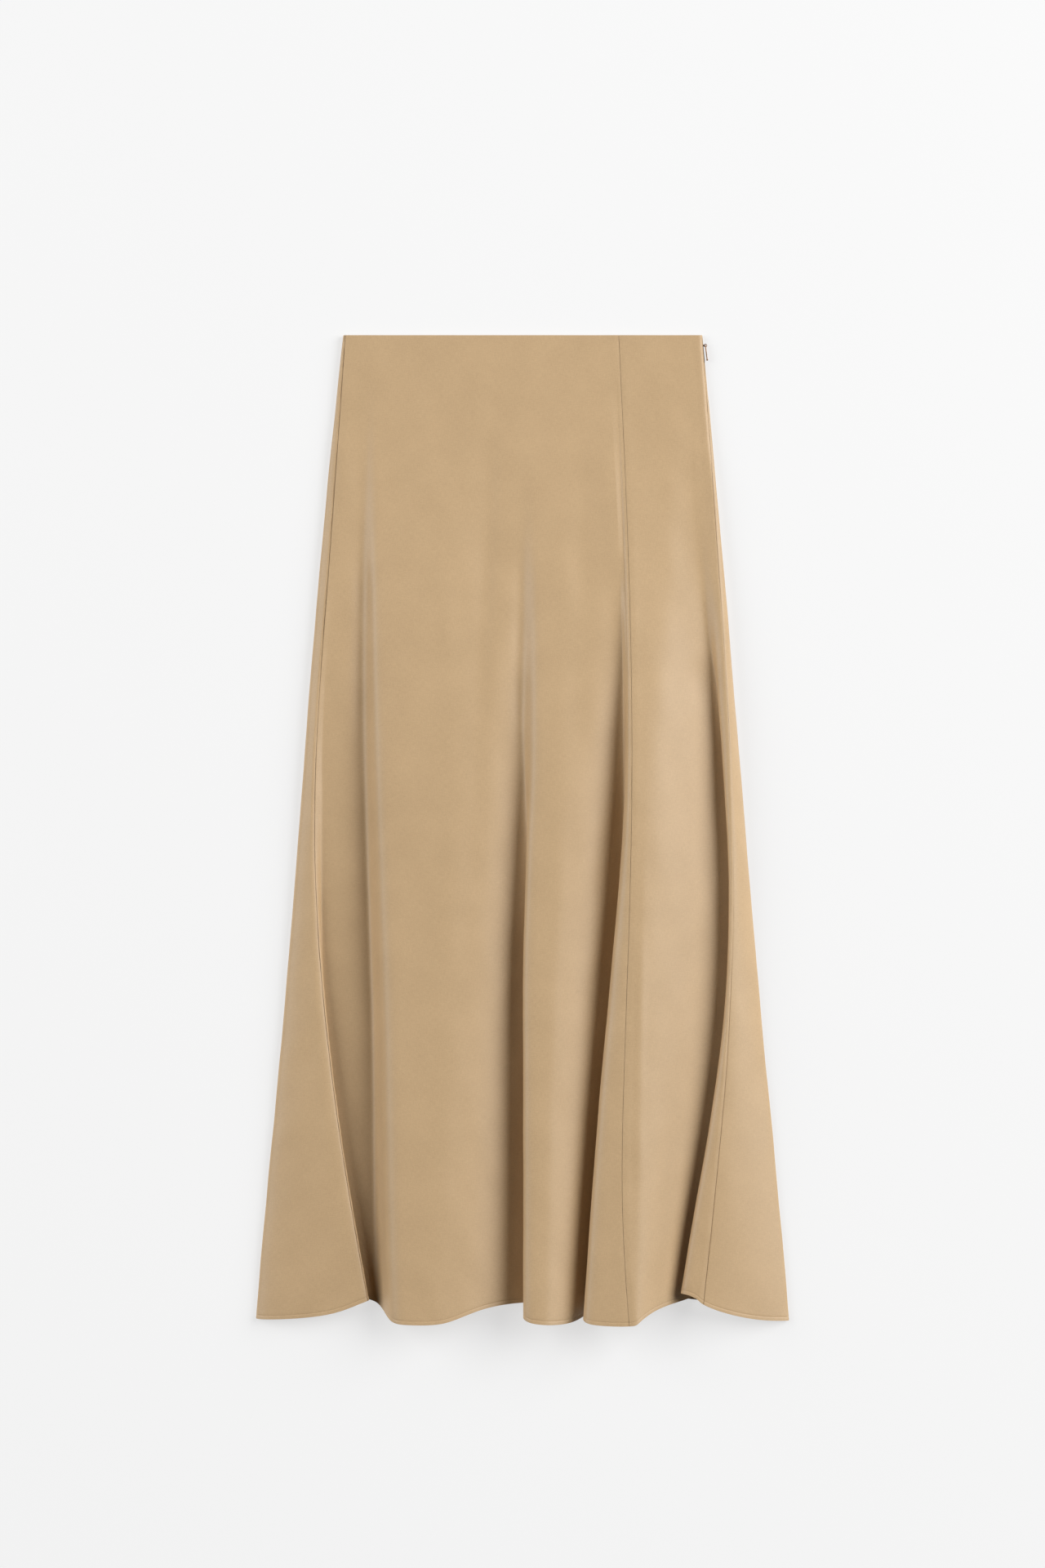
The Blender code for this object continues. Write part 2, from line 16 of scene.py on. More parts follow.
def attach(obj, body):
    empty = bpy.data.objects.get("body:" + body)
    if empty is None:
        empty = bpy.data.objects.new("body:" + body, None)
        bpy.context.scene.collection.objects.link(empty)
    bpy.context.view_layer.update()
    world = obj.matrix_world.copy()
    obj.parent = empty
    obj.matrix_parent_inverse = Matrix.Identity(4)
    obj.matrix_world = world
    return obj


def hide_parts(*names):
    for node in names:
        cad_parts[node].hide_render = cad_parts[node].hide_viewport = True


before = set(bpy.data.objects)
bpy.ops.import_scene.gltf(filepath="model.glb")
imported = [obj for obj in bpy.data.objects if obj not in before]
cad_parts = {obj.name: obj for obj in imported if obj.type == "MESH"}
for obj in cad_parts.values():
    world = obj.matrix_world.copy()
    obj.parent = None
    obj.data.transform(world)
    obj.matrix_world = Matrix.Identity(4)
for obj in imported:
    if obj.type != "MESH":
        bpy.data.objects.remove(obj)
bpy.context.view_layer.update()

MM = 0.001

# --- Driving sizes, in millimetres -------------------------------------------------------------
CLOTH = 1.2                     # wall of the cloth
CLEAR = 0.3                     # between two pieces that meet
WAIST_Y = 453.5                 # the waist edge; the longest flute ends as far below the origin
HEM_DOWN = 905.0                # the mean length of the skirt
WAIST_HEIGHT = 5.2              # middle of the front's cloth at the waist, over the surface
EDGE_HEIGHT = 2.7               # where the folded sides reach furthest out
SIDE_TOP = 4.4                  # where a flap's top turns down at the side
SIDE_SEAM_HEIGHT = 3.2          # the right seam at the waist, on the very side
SIDE_SEAM_DOWN = 150.0          # how far down it leaves the side for the top of the flap
FLOOR = 0.5 * CLOTH             # middle of the back's cloth where it lies on the surface
RESTING = FLOOR + CLOTH + CLEAR     # middle of the front's cloth lying on the back
FLAT_DOWN = 260.0               # how far down the flatness of the waist is felt

# --- Lines down the cloth: millimetres to the right of the middle, at six heights --------------
STATIONS = (0.0, 217.0, 442.0, 667.0, 817.0, HEM_DOWN)
LINES = {
    #                 waist     hip   thigh    knee    calf     hem
    "left_side":    (-164.4, -186.2, -204.2, -222.9, -237.2, -244.6),
    "left_ridge":   (-162.6, -177.8, -190.5, -175.5, -153.0, -137.0),
    "left_foot":    (-138.0, -143.0, -143.0, -137.0, -135.0, -132.0),
    "shoulder_0":   (-122.0, -131.0, -129.0, -122.0, -119.0, -116.0),
    "brink_0":      (-26.0, -34.0, -46.0, -56.0, -61.0, -66.0),
    "foot_1":       (-4.0, -4.0, -1.0, 8.0, 9.0, 9.0),
    "ridge_1":      (-2.3, -1.5, -1.5, 0.8, 0.8, 0.8),
    "crest_1":      (45.0, 38.0, 33.0, 25.0, 22.0, 21.0),
    "brink_1":      (60.0, 56.0, 47.0, 35.0, 32.0, 30.0),
    "foot_2":       (73.5, 84.0, 94.0, 86.0, 74.0, 68.0),
    "ridge_2":      (78.0, 88.5, 91.5, 73.5, 61.5, 55.5),
    "front_seam":   (87.8, 96.8, 99.0, 93.0, 92.3, 98.3),
    "brink_2":      (116.0, 121.0, 112.0, 103.5, 102.0, 100.5),
    "foot_3":       (154.5, 163.5, 190.0, 190.0, 168.0, 157.0),
    "ridge_3":      (155.0, 164.5, 187.0, 180.0, 155.0, 140.5),
    "right_seam":   (165.0, 180.0, 191.6, 185.3, 170.3, 160.3),
    "right_side":   (165.0, 184.6, 203.4, 222.9, 237.2, 244.6),
}

# --- Heights of the crests at the hem; each gains a share of its rise early, is through with that
#     at a distance down, and gains the rest evenly on the way to the hem
CRESTS = {
    #              at hem, early share, early rise ends
    "left_ridge":   (17.5, 0.20, 360.0),
    "flute_0":      (33.0, 0.50, 430.0),
    "flute_1":      (38.0, 0.54, 430.0),
    "flute_2":      (43.0, 0.56, 430.0),
    "ridge_3":      (27.0, 0.42, 380.0),
}

# --- Valleys: where they sink from and to; where their cloth starts to run under the next fold and
#     does so fully; how far it runs under, how far the fold's crest is from its edge, and how wide
#     the soft slope is where there is no fold yet. The crest and the slope take no more than these
#     shares of the way to the next line, and the cloth under takes its share to the line beyond
VALLEYS = {
    "left": {
        "sinks": (0.0, 600.0), "folds": (430.0, 760.0), "under": 36.0, "crest": 7.0, "slope": 11.0,
        "next": "left_side", "crest_share": 0.4, "slope_share": 0.8,
        "beyond": "left_side", "under_share": 0.42},
    "first": {
        "sinks": (0.0, 760.0), "folds": (330.0, 640.0), "under": 17.0, "crest": 7.0, "slope": 17.0,
        "next": "crest_1", "crest_share": 0.4, "slope_share": 0.9,
        "beyond": "crest_1", "under_share": 0.7},
    "second": {
        "sinks": (120.0, 560.0), "folds": (320.0, 560.0), "under": 18.0, "crest": 6.0, "slope": 12.0,
        "next": "front_seam", "crest_share": 0.4, "slope_share": 0.66,
        "beyond": "front_seam", "under_share": 0.7},
    "third": {
        "sinks": (110.0, 460.0), "folds": (250.0, 470.0), "under": 34.0, "crest": 6.0, "slope": 12.0,
        "next": "right_seam", "crest_share": 0.5, "slope_share": 0.8,
        "beyond": "right_side", "under_share": 0.55},
}
UNDER_RISE = 6.0                # a fold that stands no higher than this has no cloth under it
UNDER_PER_RISE = 2.0            # how much further the cloth can run under a higher one

# --- Floors: the bank lies on the left valley's floor beside the flap, which keeps a share of the
#     flap's height as far down as the first of the two distances and has lost it by the second
FLOORS = {
    #         valley, crest that it sinks from
    "bank":   ("left", "left_ridge"),
    "left":   ("left", "left_ridge"),
    "left_0": ("left", "flute_0"),
    "first":  ("first", "flute_1"),
    "second": ("second", "flute_2"),
    "third":  ("third", "ridge_3"),
}
BANK_SHARE = 0.9
BANK_FALLS = (100.0, 760.0)

# --- The folds' edges ---------------------------------------------------------------------------
EDGES = {
    # valley: line, side the fold is on, floor, crest, drop, length of its first and last corner
    "left":   ("left_ridge", -1.0, "bank", "left_ridge", 0.0, 887.0, 878.0),
    "first":  ("ridge_1", 1.0, "first", "flute_1", 0.0, 886.0, 904.5),
    "second": ("ridge_2", 1.0, "second", "flute_2", 2.0, 888.0, 905.5),
    "third":  ("ridge_3", 1.0, "third", "ridge_3", 0.5, 876.0, 878.5),
}

# --- A fold that runs under the next: its six corners, from the foot to the top ----------------
TURN = (
    # share run under, share of the crest, share of the slope, rise folded, rise soft
    (0.70, 0.0, 0.00, 0.00, 0.00),
    (1.00, 0.0, 0.16, 0.12, 0.08),
    (0.50, 0.0, 0.34, 0.40, 0.30),
    (0.00, 0.0, 0.52, 0.64, 0.56),
    (0.00, 0.0, 0.72, 0.92, 0.82),
    (0.00, 1.0, 1.00, 1.02, 0.99),
)

# --- The front's corners past each edge, from the left seam to the right flap -------------------
FRONT = {
    # line, toward, share of the way, beside, floor, crest, share of the rise, drop, length, seam
    "left": (
        ("left_foot", None, 0.0, -15.0, "bank", "left_ridge", 0.0, 0.0, 883.0, None),
        ("left_foot", None, 0.0, -3.0, "left", "left_ridge", 0.0, 0.0, 886.0, None),
        ("left_foot", None, 0.0, 3.0, "left_0", "flute_0", 0.0, 0.0, 890.5, None),
        ("left_foot", "shoulder_0", 0.62, 0.0, "left_0", "flute_0", 0.72, 0.0, 901.5, None),
        ("shoulder_0", None, 0.0, 0.0, "left_0", "flute_0", 1.0, 0.5, 905.5, None),
        ("shoulder_0", None, 0.0, 13.0, "left_0", "flute_0", 1.0, 0.0, 906.2, None),
        ("shoulder_0", "brink_0", 0.5, 0.0, "left_0", "flute_0", 1.0, -0.5, 906.4, None),
        ("brink_0", None, 0.0, -14.0, "first", "flute_0", 1.0, 0.0, 906.0, None),
        ("brink_0", None, 0.0, 0.0, "first", "flute_0", 1.0, 2.5, 904.0, None),
        ("brink_0", "foot_1", 0.34, 0.0, "first", "flute_0", 0.72, 0.0, 892.5, None),
        ("brink_0", "foot_1", 0.68, 0.0, "first", "flute_0", 0.34, 0.0, 888.0, None),
        ("foot_1", None, 0.0, -2.0, "first", "flute_1", 0.0, 0.0, 887.5, None),
    ),
    "first": (
        ("crest_1", None, 0.0, 0.0, "first", "flute_1", 1.0, 0.0, 905.7, None),
        ("brink_1", None, 0.0, -4.0, "second", "flute_1", 1.0, 1.8, 906.0, None),
        ("brink_1", "foot_2", 0.34, 0.0, "second", "flute_1", 0.70, 0.0, 905.5, None),
        ("brink_1", "foot_2", 0.68, 0.0, "second", "flute_1", 0.32, 0.0, 900.0, None),
        ("foot_2", None, 0.0, -3.0, "second", "flute_2", 0.0, 0.0, 892.0, None),
    ),
    "second": (
        ("ridge_2", "front_seam", 0.7, 0.0, "second", "flute_2", 1.0, 0.6, 906.8, None),
        ("front_seam", None, 0.0, 0.0, "second", "flute_2", 1.0, 0.0, 906.5, "front"),
        ("front_seam", None, 0.0, 6.0, "third", "flute_2", 1.0, 0.0, 906.0, None),
        ("brink_2", "foot_3", 0.12, 0.0, "third", "flute_2", 1.0, 2.0, 901.5, None),
        ("brink_2", "foot_3", 0.38, 0.0, "third", "flute_2", 0.63, 0.0, 891.5, None),
        ("brink_2", "foot_3", 0.68, 0.0, "third", "flute_2", 0.27, 0.0, 887.0, None),
        ("foot_3", None, 0.0, -3.0, "third", "ridge_3", 0.0, 0.0, 883.0, None),
    ),
    "third": (),
}

# --- The right side, from the flap's top to the floor. At the waist the seam is the very side;
#     below it lies on the flap, and the corners after it lead straight to the side's top ---------
RIGHT_SIDE = (
    # at the waist: inside the side, height; below: share of the way, inside, height; length
    (0.0, 2.7, 0.25, 0.0, None, 895.5),
    (0.0, 2.2, 0.65, 0.0, None, 903.5),
    (0.1, 1.8, 1.00, 0.0, None, 904.5),
    (0.5, 1.3, 1.00, 0.0, EDGE_HEIGHT, 904.0),
    (1.4, 0.8, 1.00, 0.0, 1.0, 904.0),
    (3.5, 0.6, 1.00, 5.0, FLOOR, 902.0),
)
FLAP_ROUND = 1.7                # how much later than evenly the flap falls to the side
UPRIGHT_SHARE = 0.7             # of the flap's rise, kept up to the side as far down as the first
UPRIGHT_DOWN = (180.0, 430.0)   # of these, and lost by the second
SEAM_SHARE = 0.9                # of the way from the flap's edge to the seam, a corner before it
SEAM_LENGTHS = (883.0, 887.0)   # of the cloth at that corner and at the seam
SEAM_DROP = 0.8                 # how much lower that corner is near the waist

# --- The back's hem on the surface: share of the way from the right side to the left, length ---
BACK_HEM = (
    (0.05, 898.0),
    (0.16, 884.0),
    (0.32, 879.0),
    (0.50, 878.0),
    (0.68, 879.0),
    (0.84, 884.0),
    (0.95, 898.0),
)

# --- The left side, from the floor up, and the top of the left flap -----------------------------
LEFT_SIDE = (
    # inside the side, height, how much lower near the waist, length
    (5.0, FLOOR, 0.0, 900.0),
    (0.0, FLOOR + 0.4, 0.0, 902.0),
    (0.0, EDGE_HEIGHT, 0.0, 902.0),
    (0.0, SIDE_TOP, 0.5, 902.5),
)
LEFT_FLAP = (
    # share of the way to the edge, share of the rise, length
    (0.07, 0.40, 903.0),
    (0.34, 0.74, 902.0),
    (0.68, 0.93, 898.0),
)
FLAP_BULGE = 0.2                # how much higher the flap's top is near the waist
WALK_STEP = 0.02                # of a corner's span, to measure distances along the curve
WALK_STEPS = 200

# --- The shells' rows, columns and edges -------------------------------------------------------
TOP_ROWS = (0.0, 0.5, 1.2, 2.2, 3.6, 5.5, 8.0)     # below the waist edge
HEM_ROWS = (8.0, 6.0, 4.8, 4.1, 3.7, 3.4, 3.1, 2.7, 2.0, 1.1, 0.4, 0.0)     # above the hem
EVEN_ROWS = 168                 # between those
SEAM_GAPS = {"left": 0.34, "front": 0.34, "right": 0.5}    # between two panels at a seam
SEAM_COLUMNS = (0.35, 0.8, 1.4, 2.4)       # from a panel's edge
EVEN_SHARE = 0.6                # of the columns, spread by length; the rest follow the corners
LENGTH_STEPS = 400              # along a section, to spread the columns
LENGTH_SHARES = (0.3, 0.65, 1.0)           # the sections that are measured for it
SLIT = 2.0                      # how far the zip's slider holds its seam open
SLIT_DOWN = (14.0, 40.0)        # where the slit starts to close and is closed
RIM_WIDTH = 0.25                # of the rounding at the panels' edges
RIM_SEGMENTS = 3
RIM_ANGLE = math.radians(60.0)  # an edge bent more than this is rounded

# --- The seam allowances, pressed open behind the seams -----------------------------------------
ALLOWANCE_COLUMNS = (-9.0, -5.0, -2.0, -0.6, 0.6, 2.0, 5.0, 9.0)   # from the seam's middle
ALLOWANCE_WALL = 0.5
ALLOWANCE_CLEAR = 0.05          # between them and the cloth
ALLOWANCE_ROWS = {"front": 0, "left": 0, "right": 46}      # where each starts, the last below the zip

PANELS = {
    # name of the node: seam it starts at, seam it ends at, columns, cut size and area, m and m2
    "front_main": ("left", "front", 196, (0.433, 0.917), 0.307),
    "front_side": ("front", "right", 104, (0.157, 0.908), 0.106),
    "back": ("right", "left", 150, (0.689, 0.926), 0.420),
}

# --- Soft relief on the cloth -------------------------------------------------------------------
CREASES = {
    # from, by way of and to: x and distance down; width; height, below zero for a trough
    "front_main": (
        ((-160.0, 50.0), (-165.0, 140.0), (-174.0, 250.0), 9.0, 0.8),
        ((-146.0, 130.0), (-147.0, 270.0), (-148.0, 420.0), 7.0, -1.6),
        ((-1.0, 150.0), (0.0, 285.0), (-2.0, 420.0), 8.0, -1.8),
        ((-108.0, 120.0), (-104.0, 250.0), (-110.0, 420.0), 20.0, 0.7),
        ((-68.0, 130.0), (-70.0, 240.0), (-64.0, 380.0), 9.0, 0.4),
        ((-38.0, 90.0), (-28.0, 200.0), (-26.0, 330.0), 24.0, -0.9),
        ((42.0, 110.0), (44.0, 230.0), (40.0, 380.0), 16.0, 0.9),
        ((84.0, 120.0), (72.0, 190.0), (60.0, 270.0), 14.0, -0.7),
        ((-120.0, 620.0), (-112.0, 740.0), (-118.0, 880.0), 14.0, 0.5),
        ((-196.0, 560.0), (-200.0, 700.0), (-206.0, 880.0), 16.0, 0.8),
    ),
    "front_side": (
        ((113.0, 400.0), (107.5, 640.0), (107.0, 900.0), 5.0, 0.9),
        ((150.0, 150.0), (152.0, 180.0), (148.0, 215.0), 20.0, -0.6),
        ((158.0, 290.0), (162.0, 318.0), (160.0, 350.0), 16.0, -0.7),
        ((172.0, 100.0), (174.0, 140.0), (178.0, 200.0), 5.0, 0.5),
        ((132.0, 420.0), (138.0, 560.0), (128.0, 700.0), 10.0, 0.4),
    ),
    "back": (
        ((-70.0, 60.0), (-60.0, 160.0), (-82.0, 300.0), 16.0, -0.9),
        ((36.0, 40.0), (44.0, 130.0), (34.0, 240.0), 13.0, -0.8),
        ((-100.0, 500.0), (-92.0, 680.0), (-96.0, 872.0), 15.0, -1.2),
        ((22.0, 640.0), (24.0, 760.0), (20.0, 872.0), 11.0, -1.1),
        ((96.0, 620.0), (94.0, 740.0), (98.0, 876.0), 12.0, -1.1),
    ),
}
LONG_WOBBLE = (0.25, 23.0)      # how unevenly a crease rises: share of its height, and how long
SHORT_WOBBLE = (0.15, 9.7)
WAVES = (
    # from crest to crest across and along, height, phase
    (61.0, 190.0, 0.10, 0.4),
    (-83.0, 140.0, 0.09, 1.9),
    (37.0, 260.0, 0.06, 3.3),
    (-29.0, 75.0, 0.04, 5.1),
    (47.0, 52.0, 0.035, 2.6),
)
PUCKERS = (
    # from crest to crest along a seam, height, phase
    (9.0, 0.07, 0.3),
    (14.5, 0.08, 1.7),
    (31.0, 0.10, 4.0),
)
PUCKER_WIDTH = 5.0              # how far they reach from a seam
SEAM_DIP = (0.0, 0.6, -0.06)    # from a seam's edge to its middle; width; height
SEAM_RIDGE = (4.5, 3.0, 0.14)   # over the allowance that is pressed open behind a seam
HEM_GROOVE = (3.4, 0.55, -0.16)     # above the hem's edge, where its fold ends
WAIST_DIP = (0.0, 0.8, -0.08)   # from the waist's edge


def spline(at, knots, values):
    """Natural cubic curve through the values at the knots."""
    knots = np.asarray(knots)
    values = np.asarray(values)
    step = np.diff(knots)
    slope = np.diff(values) / step
    system = np.eye(len(knots))
    pull = np.zeros(len(knots))
    for i in range(1, len(knots) - 1):
        system[i, i - 1:i + 2] = (step[i - 1], 2.0 * (step[i - 1] + step[i]), step[i])
        pull[i] = 6.0 * (slope[i] - slope[i - 1])
    bend = np.linalg.solve(system, pull)
    i = int(np.clip(np.searchsorted(knots, at, side="right") - 1, 0, len(step) - 1))
    b = (at - knots[i]) / step[i]
    a = 1.0 - b
    straight = a * values[i] + b * values[i + 1]
    return straight + ((a ** 3 - a) * bend[i] + (b ** 3 - b) * bend[i + 1]) * step[i] ** 2 / 6.0


def along(line, down):
    """How far right of the middle a line is, a distance down."""
    return spline(down, STATIONS, LINES[line])


def ease(value, start, end):
    """0 before start, 1 after end, smooth between."""
    share = min(max((value - start) / (end - start), 0.0), 1.0)
    return share * share * (3.0 - 2.0 * share)


class Section:
    """The corners of the tube's section, in order, a share of the way down; in millimetres."""

    def __init__(self, share):
        self.share = share
        self.down = share * HEM_DOWN
        self.corners = []
        self.seams = {}

    def crest(self, name):
        """Height of a crest."""
        at_hem, early, ends = CRESTS[name]
        risen = early * ease(self.down, 0.0, ends) + (1.0 - early) * self.share
        return WAIST_HEIGHT + (at_hem - WAIST_HEIGHT) * risen

    def floor(self, name):
        """Height of a floor."""
        valley, crest = FLOORS[name]
        top = self.crest(crest)
        low = top + (RESTING - top) * ease(self.down, *VALLEYS[valley]["sinks"])
        if name == "bank":
            low += BANK_SHARE * (1.0 - ease(self.down, *BANK_FALLS)) * (top - low)
        return low

    def height(self, floor, crest, rise, drop):
        """Part of the way up from a floor to a crest, less a drop that fades out toward the waist."""
        low = self.floor(floor)
        return low + rise * (self.crest(crest) - low) - drop * ease(self.down, 0.0, FLAT_DOWN)

    def corner(self, line, toward, part, aside, height, length, seam=None):
        """A corner part of the way from one line toward another, on cloth of its own length."""
        if seam:
            self.seams[seam] = len(self.corners)
        down = self.share * length
        x = along(line, down)
        if toward:
            x += part * (along(toward, down) - x)
        self.corners.append((x + aside, WAIST_Y - down, height))

    def edge(self, valley):
        """The six corners of a fold's edge, which the valley's cloth runs under."""
        line, side, floor, crest, drop, at_first, at_last = EDGES[valley]
        sizes = VALLEYS[valley]
        edge = along(line, self.down)
        to_next = abs(along(sizes["next"], self.down) - edge)
        room = abs(along(sizes["beyond"], self.down) - edge)
        rise = self.crest(crest) - self.floor(floor)
        inside = min(sizes["crest"], sizes["crest_share"] * to_next)
        slope = min(sizes["slope"], sizes["slope_share"] * to_next)
        most = UNDER_PER_RISE * max(rise - UNDER_RISE, 0.0)
        under = min(sizes["under"], sizes["under_share"] * room, most)
        folded = ease(self.down, *sizes["folds"])
        rows = TURN if side > 0 else TURN[::-1]
        for number, (run, out, beside, up_folded, up_soft) in enumerate(rows):
            if side < 0:
                beside = beside - rows[1][2]
            aside = folded * (run * under + out * inside) + (1.0 - folded) * beside * slope
            up = folded * up_folded + (1.0 - folded) * up_soft
            height = self.height(floor, crest, up, up * drop)
            length = at_first + (at_last - at_first) * number / (len(rows) - 1)
            seam = "left" if side < 0 and number == 1 else None
            self.corner(line, None, 0.0, side * aside, height, length, seam)


def section(share):
    """The whole tube: the front from the left seam, round the right side, back along the floor."""
    ring = Section(share)
    for valley, corners in FRONT.items():
        ring.edge(valley)
        for line, toward, part, aside, floor, crest, rise, drop, length, seam in corners:
            ring.corner(line, toward, part, aside, ring.height(floor, crest, rise, drop), length, seam)
    # the right side: near the waist the seam lies at the very side, below it on the flap
    right = ring.crest("ridge_3")
    below = ease(ring.down, 0.0, SIDE_SEAM_DOWN)
    before, at_seam = SEAM_LENGTHS
    ring.corner("ridge_3", "right_seam", SEAM_SHARE, 0.0, right - SEAM_DROP * (1.0 - below), before)
    seam_height = SIDE_SEAM_HEIGHT + (right - SIDE_SEAM_HEIGHT) * below
    ring.corner("right_seam", None, 0.0, 0.0, seam_height, at_seam, "right")
    fall = (1.0 - UPRIGHT_SHARE * (1.0 - ease(ring.down, *UPRIGHT_DOWN))) * (SIDE_TOP - right)
    for inside, height, part, inside_below, height_below, length in RIGHT_SIDE:
        if height_below is None:
            height_below = right + part ** FLAP_ROUND * fall
        part = 1.0 + (part - 1.0) * below
        inside += (inside_below - inside) * below
        height += (height_below - height) * below
        ring.corner("right_seam", "right_side", part, -inside, height, length)
    # the back, flat on the surface, the left side and the left flap
    for part, length in BACK_HEM:
        ring.corner("right_side", "left_side", part, 0.0, FLOOR, length)
    for inside, height, lower, length in LEFT_SIDE:
        ring.corner("left_side", None, 0.0, inside, height - lower * (1.0 - below), length)
    left = ring.crest("left_ridge")
    for part, rise, length in LEFT_FLAP:
        height = SIDE_TOP + rise * (left - SIDE_TOP) + FLAP_BULGE * (1.0 - below)
        ring.corner("left_side", "left_ridge", part, 0.0, height, length)
    return ring


def curve_at(corners, at):
    """The closed curve rounded off the corners, at positions counted in corners."""
    first = np.floor(at).astype(int)
    part = (at - first)[:, None]
    count = len(corners)
    weights = (
        (1.0 - part) ** 3,
        3.0 * part ** 3 - 6.0 * part ** 2 + 4.0,
        -3.0 * part ** 3 + 3.0 * part ** 2 + 3.0 * part + 1.0,
        part ** 3,
    )
    total = sum(weight * corners[(first + shift - 1) % count] for shift, weight in enumerate(weights))
    return total / 6.0


def past(corners, start, distance):
    """The position on the curve a small distance past (or before) a start."""
    here = start + math.copysign(WALK_STEP, distance) * np.arange(WALK_STEPS)
    points = curve_at(corners, here)
    walked = np.concatenate(([0.0], np.cumsum(np.linalg.norm(np.diff(points, axis=0), axis=1))))
    return float(np.interp(abs(distance), walked, here))


# --- The cloth ---------------------------------------------------------------------------------
def rows_down():
    """Shares of the way down, close together at the waist and the hem."""
    top = np.array(TOP_ROWS) / HEM_DOWN
    hem = 1.0 - np.array(HEM_ROWS) / HEM_DOWN
    even = np.linspace(top[-1], hem[0], EVEN_ROWS + 2)[1:-1]
    return np.concatenate((top, even, hem))


def half_gap(seam, share):
    """Half the gap between two panels at a seam, wider at the right one's slit."""
    gap = SEAM_GAPS[seam]
    if seam == "right":
        gap += (SLIT - gap) * (1.0 - ease(share * HEM_DOWN, *SLIT_DOWN))
    return 0.5 * gap


def lengths_along(points):
    """Distance walked along a row of points."""
    return np.concatenate(([0.0], np.cumsum(np.linalg.norm(np.diff(points, axis=0), axis=1))))


def column_shares(first, last, columns):
    """Where a panel's columns stand between its seams, partly by length and partly by corner."""
    steps = np.linspace(0.0, 1.0, LENGTH_STEPS)
    walked = np.zeros(len(steps))
    for share in LENGTH_SHARES:
        corners = np.array(section(share).corners)
        length = lengths_along(curve_at(corners, first + steps * (last - first)))
        walked += length / length[-1] / len(LENGTH_SHARES)
    mixed = EVEN_SHARE * walked + (1.0 - EVEN_SHARE) * steps
    return np.interp(np.linspace(0.0, 1.0, columns), mixed, steps)


def panel_grid(start, end, columns):
    """The middle of a panel's cloth, as rows of points in millimetres from one seam to the other."""
    ring = section(0.0)
    first, last = ring.seams[start], ring.seams[end]
    if last < first:
        last += len(ring.corners)
    shares = column_shares(first, last, columns)
    grid = []
    for share in rows_down():
        corners = np.array(section(share).corners)
        from_here = past(corners, first, half_gap(start, share))
        to_here = past(corners, last, -half_gap(end, share))
        left = [past(corners, from_here, inside) for inside in SEAM_COLUMNS]
        right = [past(corners, to_here, -inside) for inside in SEAM_COLUMNS[::-1]]
        middle = left[-1] + shares[1:-1] * (right[0] - left[-1])
        grid.append(curve_at(corners, np.concatenate(([from_here], left, middle, right, [to_here]))))
    return np.array(grid)


def outward(grid):
    """The cloth's outward direction at each point."""
    sideways = np.gradient(grid, axis=1)
    downward = np.gradient(grid, axis=0)
    normal = np.cross(downward, sideways)
    return normal / np.linalg.norm(normal, axis=2, keepdims=True)


def band(distance, middle, width, height):
    """The height of a soft ridge, or below zero of a groove, at distances from a line."""
    return height * np.exp(-((distance - middle) / width) ** 2)


def crease(x, down, way, width, height):
    """A soft trough or ridge along a way of three points, uneven along its length."""
    (x_0, down_0), (x_1, down_1), (x_2, down_2) = way
    part = np.clip((down - down_0) / (down_2 - down_0), 0.0, 1.0)
    middle = (down_1 - down_0) / (down_2 - down_0)
    bow = (x_1 - x_0 - middle * (x_2 - x_0)) / (middle * (1.0 - middle))
    centre = x_0 + part * (x_2 - x_0) + bow * part * (1.0 - part)
    uneven = 1.0
    for (share, long), phase in ((LONG_WOBBLE, x_0), (SHORT_WOBBLE, x_2)):
        uneven = uneven + share * np.sin(down / long + phase)
    return uneven * np.sin(math.pi * part) ** 2 * band(x, centre, width, height)


def relief(name, grid):
    """How far the cloth's middle moves outward, in millimetres; the back's stays off the surface."""
    x, down = grid[:, :, 0], WAIST_Y - grid[:, :, 1]
    walked = np.array([lengths_along(row) for row in grid])
    above_hem = (HEM_DOWN * (1.0 - rows_down()))[:, None]
    below_waist = (HEM_DOWN * rows_down())[:, None]
    lift = np.zeros(x.shape)
    for *way, width, height in CREASES[name]:
        lift += crease(x, down, way, width, height)
    on_top = name != "back"
    for wide, long, height, phase in WAVES:
        wave = np.sin(math.tau * (walked / wide + down / long) + phase)
        lift += height * (wave if on_top else -1.0 - wave)
    pucker = sum(height * np.sin(math.tau * down / long + phase) for long, height, phase in PUCKERS)
    for edge in (walked, walked[:, -1:] - walked):
        lift += band(edge, *SEAM_DIP)
        if on_top:
            lift += band(edge, *SEAM_RIDGE) + pucker * band(edge, 0.0, PUCKER_WIDTH, 1.0)
    return lift + band(above_hem, *HEM_GROOVE) + band(below_waist, *WAIST_DIP)


def cloth_mesh(name, grid):
    """A mesh grid whose points are moved onto the panel, with the cloth's own measure as its UV."""
    rows, columns = grid.shape[:2]
    mesh = bpy.data.meshes.new(name)
    work = bmesh.new()
    bmesh.ops.create_grid(work, x_segments=columns - 1, y_segments=rows - 1, size=1.0)
    lengths = np.cumsum(np.linalg.norm(np.diff(grid, axis=0, prepend=grid[:1]), axis=2), axis=0)
    widths = np.array([lengths_along(row) for row in grid])
    measure = work.loops.layers.uv.new("cloth")
    spots = {}
    for point in work.verts:
        column = round((point.co.x + 1.0) * 0.5 * (columns - 1))
        row = round((1.0 - point.co.y) * 0.5 * (rows - 1))
        point.co = grid[row, column] * MM
        from_middle = widths[row, column] - 0.5 * widths[row, -1]
        spots[point] = (from_middle * MM, -lengths[row, column] * MM)
    for face in work.faces:
        face.smooth = True
        for loop in face.loops:
            loop[measure].uv = spots[loop.vert]
    work.to_mesh(mesh)
    work.free()
    return mesh


